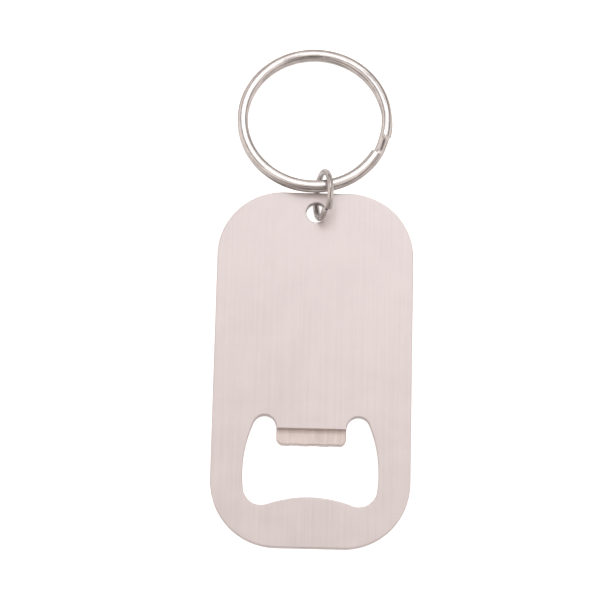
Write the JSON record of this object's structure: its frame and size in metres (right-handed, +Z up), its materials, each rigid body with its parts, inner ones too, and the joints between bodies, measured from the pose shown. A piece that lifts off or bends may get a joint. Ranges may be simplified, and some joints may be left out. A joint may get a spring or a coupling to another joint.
{
  "type": "keychain bottle opener",
  "caption": "Flat steel keychain bottle opener with rounded corners, a shaped cap cut-out with a pressed-down lip, and a jump ring that carries a split key ring.",
  "frame": {"origin": "under the middle of the whole object as it lies flat, on the surface that it lies on", "axes": "+X across the plate, +Y along it from the cap cut-out to the key ring, +Z up out of the plate's front face"},
  "size_m": [0.0384, 0.1004, 0.01],
  "materials": {
    "brushed_plate": "brushed lengthwise, satin",
    "jump_ring_wire": "bright nickel plate",
    "split_ring_wire": "bright nickel plate, fine handling scratches"
  },
  "bodies": {
    "opener_plate": {"opener_plate": "brushed_plate"},
    "jump_ring": {"jump_ring": "jump_ring_wire"},
    "split_ring": {"split_ring": "split_ring_wire"}
  },
  "joints": [
    {"name": "jump_ring_flip", "type": "hinge", "parent": "opener_plate", "child": "jump_ring", "pos_m": [0, 0.01828, 0.0026], "axis": [1, 0, 0], "range_deg": [-90, 0]},
    {"name": "split_ring_fold", "type": "hinge", "parent": "jump_ring", "child": "split_ring", "pos_m": [-0.00075, 0.0207, 0.00488], "axis": [1, 0, 0], "range_deg": [-60, 165]}
  ]
}
